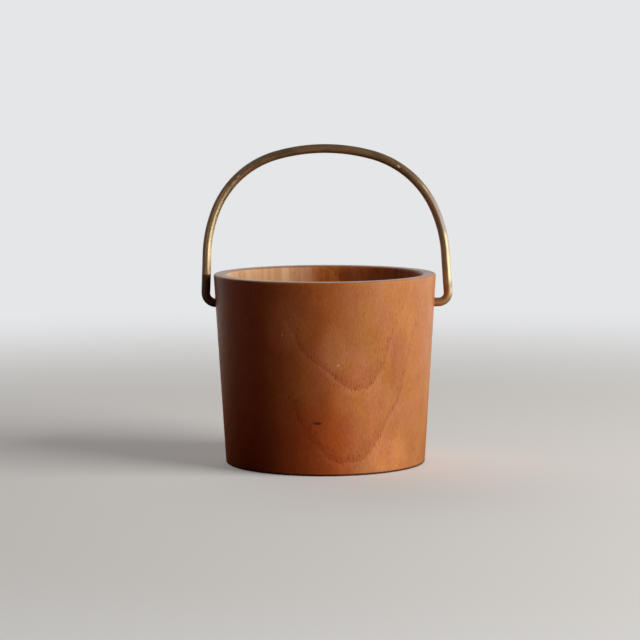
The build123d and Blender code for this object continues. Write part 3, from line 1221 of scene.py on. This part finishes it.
# %% Carry the section along the line
SIDES = 40
RING_EVERY = 0.0009
BEND_RING_EVERY = 0.00045
END_EASE = 0.0006
BEND_FLATTENING = 0.035
FLATTENING_EASE = 0.004
ROD_SHARP = radians(32)
is_tight = curvature > 1 / (2 * BEND_RADIUS)


def ring_places():
    """Arc lengths of the rings, closer together on the tight bends, with two at each eased end."""
    density = np.where(is_tight, 1 / BEND_RING_EVERY, 1 / RING_EVERY)
    count = np.concatenate([[0], np.cumsum(density[1:] * np.diff(along))])
    even = np.linspace(0, count[-1], round(count[-1]) + 1)
    places = np.interp(even, count, along)
    inner = places[(places > along[0] + END_EASE) & (places < along[-1] - END_EASE)]
    return np.concatenate([[along[0], along[0] + END_EASE], inner, [along[-1] - END_EASE, along[-1]]])


def carry_ring():
    """Points at line + radius * (cosine * normal + sine * Y), a touch oval where the rod is bent tight."""
    places = ring_places()
    steps = round(FLATTENING_EASE / STEP)
    tight = np.convolve(is_tight, np.ones(steps) / steps, "same")
    x, z, turn, bend = (np.interp(places, along, value) for value in (line_x, line_z, heading, tight))
    radius = np.full(len(places), ROD_RADIUS)
    radius[[0, -1]] -= END_EASE
    round_angle = np.arange(SIDES) * 2 * pi / SIDES
    in_plane = np.outer(radius * (1 - BEND_FLATTENING * bend), np.cos(round_angle))
    through = np.outer(radius, np.sin(round_angle))
    points = np.stack([
        x[:, None] - np.sin(turn)[:, None] * in_plane,
        through,
        z[:, None] + np.cos(turn)[:, None] * in_plane,
    ], -1)
    straight = np.stack([np.repeat(places[:, None], SIDES, 1), in_plane, through], -1)
    return points, straight


def tube_faces(rings, sides):
    """Quads along the tube and one flat face on each end."""
    ring, side = np.meshgrid(np.arange(rings - 1), np.arange(sides), indexing="ij")
    after = (side + 1) % sides
    start, end = ring * sides, (ring + 1) * sides
    quads = np.stack([start + side, start + after, end + after, end + side], -1)
    ends = [tuple(range(sides)), tuple(range((rings - 1) * sides, rings * sides))]
    return [*quads.reshape(-1, 4).tolist(), *ends]


rod_points, rod_straight = carry_ring()
rod = mesh_object("rod", rod_points.reshape(-1, 3), tube_faces(len(rod_points), SIDES))
place_on_rod = rod.data.attributes.new("on_rod", "FLOAT_VECTOR", "POINT")
place_on_rod.data.foreach_set("vector", rod_straight.reshape(-1).astype(np.float32))
volume = tidy_mesh(rod.data, ROD_SHARP)
print(f"rod of {len(rod.data.polygons)} faces, {volume * 1e6:.2f} cm3")

# %% [markdown]
# ## Old brass
# Brass left alone goes brown and stays gold where it is handled. Brown tarnish is a thin layer of oxide: less
# metallic, darker and duller than the metal under it, often with a clear film over it. Here the crown is
# brown, the legs are gold with brown down one side, warmed partly by a painted reflection of the wood, and
# the left leg is polished. The left bend is painted nearly black as shade, and the right pin has a painted
# highlight.
# The pattern is worked out on the straightened rod, so that it stretches along it like the marks of drawing
# and rubbing: X runs along the rod from the crown, Y points out of the bow and Z through it.

# %% Stretches of tarnish, painted shade and a painted highlight along the rod
BROWN_FROM = -0.070
BROWN_TO = 0.104
BORDER = 0.004
LEG_START = 0.012
LEFT_BEND = -0.132
RIGHT_BEND = 0.138
BLACK_BORDER = 0.0007
ROD_STRETCHES = {
    "left_leg": (("X", BROWN_FROM + LEG_START, BROWN_FROM - LEG_START),),
    "left_bend": (("X", LEFT_BEND + BLACK_BORDER, LEFT_BEND - BLACK_BORDER),),
    "left_pin": (("X", -0.144, -0.152),),
    "right_haunch": (("X", BROWN_TO - 2 * LEG_START, BROWN_TO),),
    "right_leg": (("X", BROWN_TO, BROWN_TO + LEG_START),),
    "right_bend": (("X", RIGHT_BEND - BORDER, RIGHT_BEND + BORDER),),
    "right_pin_highlight": (("X", 0.140, 0.147), ("Y", -0.0012, 0.0008)),
    "right_underside": (("Y", 0.0020, 0.0029), ("X", 0.143, 0.150)),
}
GLINTS = (0.5, 0.7)
GLINT_SHARE = 0.6
UNDERSIDE_BLACK = 0.8
CROWN_RAGGED = 0.02
CROWN_BROWN = 0.95
ON_LEFT_OF_LEG = (0.0004, -0.0016)
LEG_RAGGED = 0.002
LEG_SHARE = 0.8
BEND_PATCHES = (0.25, 0.55)
BEND_BROWN = 0.9
CLOUDS = (0.5, 0.8)
CLOUD_BROWN = 0.2
FILM = 0.4
FILM_OVER_BROWN = 0.4
FILM_ON_HAUNCH = 0.2
BEND_BARE = 0.6
FILM_WORN_OFF = 0.85


def painted_shade_share(tree, on, patches):
    """Share of painted shade, nearly black: the left bend and the underside of the right pin, less a few
    painted glints.
    """
    # Painted shade: the left bend, below the rim where the pail shades it, and the underside of the right pin
    black = largest(tree, on["left_bend"], product(tree, on["right_underside"], UNDERSIDE_BLACK))
    glint = product(tree, ease(tree, patches, *GLINTS), on["left_pin"])
    return product(tree, black, left_over(tree, glint, GLINT_SHARE))


def brown_share(tree, axes, on, edges, patches):
    """Share of brown tarnish: the crown with ragged ends, the left of each leg, some on the right bend."""
    ragged = add_swing(tree, axes["X"], edges, CROWN_RAGGED)
    started = ease(tree, ragged, BROWN_FROM - BORDER, BROWN_FROM + BORDER)
    ended = ease(tree, ragged, BROWN_TO + BORDER, BROWN_TO - BORDER)
    crown = product(tree, started, ended, CROWN_BROWN)
    to_right = product(tree, axes["Y"], calc(tree, "SIGN", axes["X"]))
    leg_side = add_swing(tree, to_right, patches, LEG_RAGGED)
    legs = product(tree, ease(tree, leg_side, *ON_LEFT_OF_LEG), LEG_SHARE)
    bend = product(tree, on["right_bend"], ease(tree, edges, *BEND_PATCHES), BEND_BROWN)
    clouds = product(tree, ease(tree, patches, *CLOUDS), CLOUD_BROWN)
    share = calc(tree, "ADD", largest(tree, crown, legs, bend), clouds)
    return calc(tree, "MINIMUM", share, 1.0)


def film_share(tree, on, brown, black):
    """Clear film: on all of it, thicker over brown, most on the right haunch, and worn off the bare parts."""
    over_brown = calc(tree, "MULTIPLY_ADD", on["right_haunch"], FILM_ON_HAUNCH, FILM_OVER_BROWN)
    film = calc(tree, "MULTIPLY_ADD", brown, over_brown, FILM)
    left_side = product(tree, on["left_leg"], brown)
    bare = largest(tree, black, left_side, product(tree, on["right_bend"], BEND_BARE))
    return product(tree, film, left_over(tree, bare, FILM_WORN_OFF))


print(f"brown from {BROWN_FROM / MM:.0f} to {BROWN_TO / MM:.0f} mm along the rod")

# %% Brass material
BRASS_BRIGHT = srgb(196, 177, 136)
BRASS_DULL = srgb(174, 150, 106)
BRASS_POLISHED = srgb(234, 212, 166)
TARNISH = srgb(132, 104, 72)
TARNISH_DEEP = srgb(98, 76, 50)
TARNISH_RED = srgb(146, 104, 68)
# Nearly black colour of painted shade, on the left bend and under the right pin
PAINTED_SHADE_DARK = srgb(94, 66, 36)
# Warmer brown of the legs: partly tarnish, partly a painted reflection of the lit wood
LEG_BROWN_AND_REFLECTION = srgb(160, 104, 60)
# Colour of a painted highlight on the right pin
PIN_PAINTED_HIGHLIGHT = srgb(204, 152, 92)
RUBBED_PALE = srgb(228, 212, 158)
RUB_DEPTH = 0.002
# Each rubbed place: along the rod, outwards, half length, half width and strength
PALE_RUBS = (
    (0.0510, 0.0002, 0.0017, 0.0009, 0.9),
    (0.0735, 0.0016, 0.0050, 0.0004, 0.7),
    (-0.0612, 0.0002, 0.0018, 0.0009, 0.6),
    (-0.0664, -0.0004, 0.0034, 0.0009, 0.6),
)
ROD_PATCHES = (70, 200, 200)
ROD_EDGES = (90, 170, 170)
ROD_STROKES = (50, 500, 500)
DULL_STROKES = (0.35, 0.7)
INSIDE_TO_OUTSIDE = (-0.0015, 0.001)
DEEP_PATCHES = (0.65, 0.35)
LEG_WARMTH = 0.8
LESS_ON_BEND = 0.8
PIN_HIGHLIGHT_SHARE = 0.85
OXIDE_OVER_METAL = 0.82
METAL_ROUGHNESS = 0.3
OXIDE_ROUGHNESS = 0.12
STROKE_ROUGHNESS = 0.04
STROKE_STRENGTH = 0.01
STROKE_DEPTH = 0.0001
FILM_ROUGHNESS = 0.2
FILM_IOR = 1.9


def metal_colour(tree, on, strokes):
    """Bright and dull strokes of metal, polished on the left leg."""
    metal = blend_colour(tree, ease(tree, strokes, *DULL_STROKES), BRASS_BRIGHT, BRASS_DULL)
    return blend_colour(tree, on["left_leg"], metal, BRASS_POLISHED)


def tarnish_colour(tree, axes, on, patches, black):
    """Brown, redder inside the bow and deeper in patches; warmer on the legs, partly a painted reflection of
    the wood; a painted highlight on the right pin; nearly black where shade is painted.
    """
    colour = blend_colour(tree, ease(tree, axes["Y"], *INSIDE_TO_OUTSIDE), TARNISH_RED, TARNISH)
    colour = blend_colour(tree, ease(tree, patches, *DEEP_PATCHES), colour, TARNISH_DEEP)
    right_leg = calc(tree, "MULTIPLY_ADD", on["right_bend"], -LESS_ON_BEND, on["right_leg"])
    legs = product(tree, largest(tree, on["left_leg"], right_leg), LEG_WARMTH)
    # Partly tarnish, partly painted reflection: the legs' brown is made warmer
    colour = blend_colour(tree, legs, colour, LEG_BROWN_AND_REFLECTION)
    # Painted highlight: a pale gold stripe along the outer side of the right pin
    colour = blend_colour(tree, product(tree, on["right_pin_highlight"], PIN_HIGHLIGHT_SHARE), colour, PIN_PAINTED_HIGHLIGHT)
    return blend_colour(tree, black, colour, PAINTED_SHADE_DARK)


def brass_material():
    """Gold legs, a brown crown and a bend painted black as shade, with fine marks along the rod and a few
    rubbed places.
    """
    material, tree, surface = new_material("old_brass")
    place = add_node(tree, "ShaderNodeAttribute", attribute_name="on_rod").outputs["Vector"]
    axes = axes_of(tree, place)
    on = {name: region(tree, axes, borders) for name, borders in ROD_STRETCHES.items()}
    patches = noise(tree, place, ROD_PATCHES)
    edges = noise(tree, place, ROD_EDGES, detail=1.0)
    strokes = noise(tree, place, ROD_STROKES, detail=1.0)
    black = painted_shade_share(tree, on, patches)
    brown = largest(tree, brown_share(tree, axes, on, edges, patches), black)
    tarnish = tarnish_colour(tree, axes, on, patches, black)
    colour = blend_colour(tree, brown, metal_colour(tree, on, strokes), tarnish)
    for along_rod, outward, half_length, half_width, strength in PALE_RUBS:
        rub_size = (half_length, half_width, RUB_DEPTH)
        rubbed = spot(tree, place, (along_rod, outward, -ROD_RADIUS), rub_size)
        colour = blend_colour(tree, product(tree, rubbed, strength), colour, RUBBED_PALE)
    rough = calc(tree, "MULTIPLY_ADD", brown, OXIDE_ROUGHNESS, METAL_ROUGHNESS)
    bump = {"Height": strokes, "Strength": STROKE_STRENGTH, "Distance": STROKE_DEPTH}
    feed(tree, surface, {
        "Base Color": colour,
        "Metallic": left_over(tree, brown, OXIDE_OVER_METAL),
        "Roughness": calc(tree, "MULTIPLY_ADD", strokes, STROKE_ROUGHNESS, rough),
        "Coat Weight": film_share(tree, on, brown, black),
        "Coat Roughness": FILM_ROUGHNESS,
        "Coat IOR": FILM_IOR,
        "Normal": add_node(tree, "ShaderNodeBump", bump).outputs[0],
    })
    return material


rod.data.materials.append(brass_material())
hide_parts("bail")
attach(rod, "bail")
print("brass finish:", rod.data.materials[0].name)
